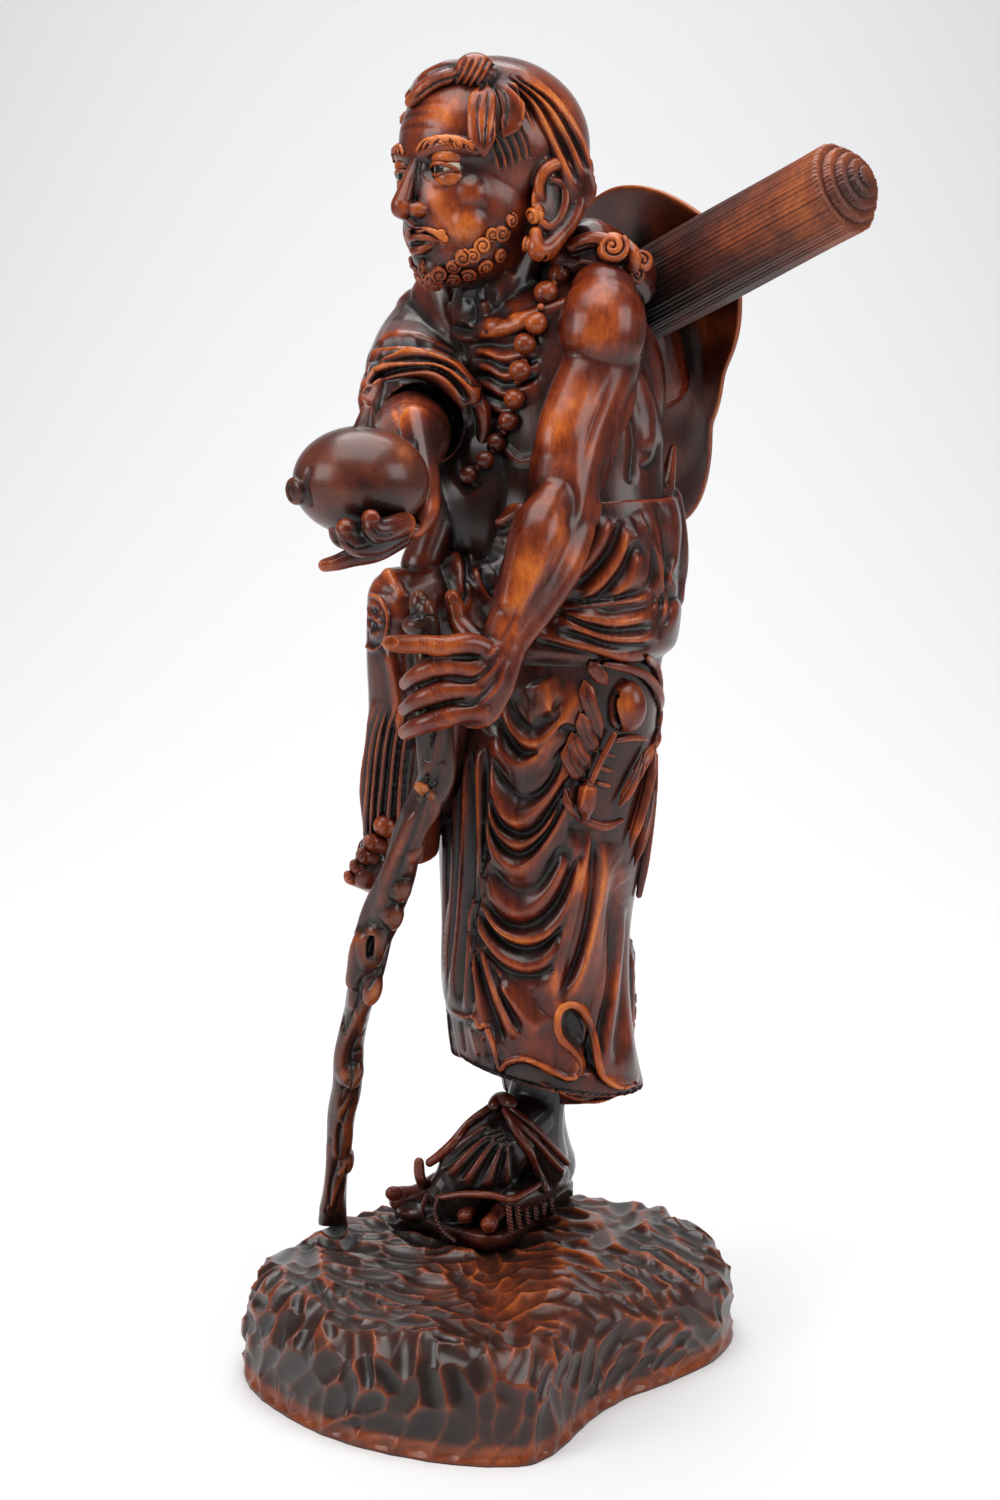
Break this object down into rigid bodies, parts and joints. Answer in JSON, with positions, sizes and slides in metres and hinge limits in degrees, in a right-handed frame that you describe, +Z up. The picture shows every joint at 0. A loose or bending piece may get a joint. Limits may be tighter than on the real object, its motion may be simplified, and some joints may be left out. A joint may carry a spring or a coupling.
{
  "type": "okimono figure",
  "caption": "Carved hardwood okimono of a standing immortal in robes with a staff, a gourd, beads, a round hat and a rolled mat, on a gouged rock plinth.",
  "frame": {"origin": "centre of the plinth's underside, on the surface that it stands on", "axes": "+Z up, -Y towards the viewer of the front view, +X to that viewer's right; the figure faces halfway between -X and -Y"},
  "size_m": [0.2866, 0.276, 0.6049],
  "materials": {
    "plinth": "dark stained hardwood, gouged all over and waxed",
    "figure": "red-brown hardwood, polished, amber where it is worn and near black in the hollows",
    "staff": "dark red-brown hardwood, polished",
    "eye_inlay": "pale bone inlay with a dark pupil"
  },
  "bodies": {
    "root": {"plinth": "plinth", "figure": "figure", "staff": "staff", "left_eye": "eye_inlay", "right_eye": "eye_inlay"}
  },
  "joints": []
}
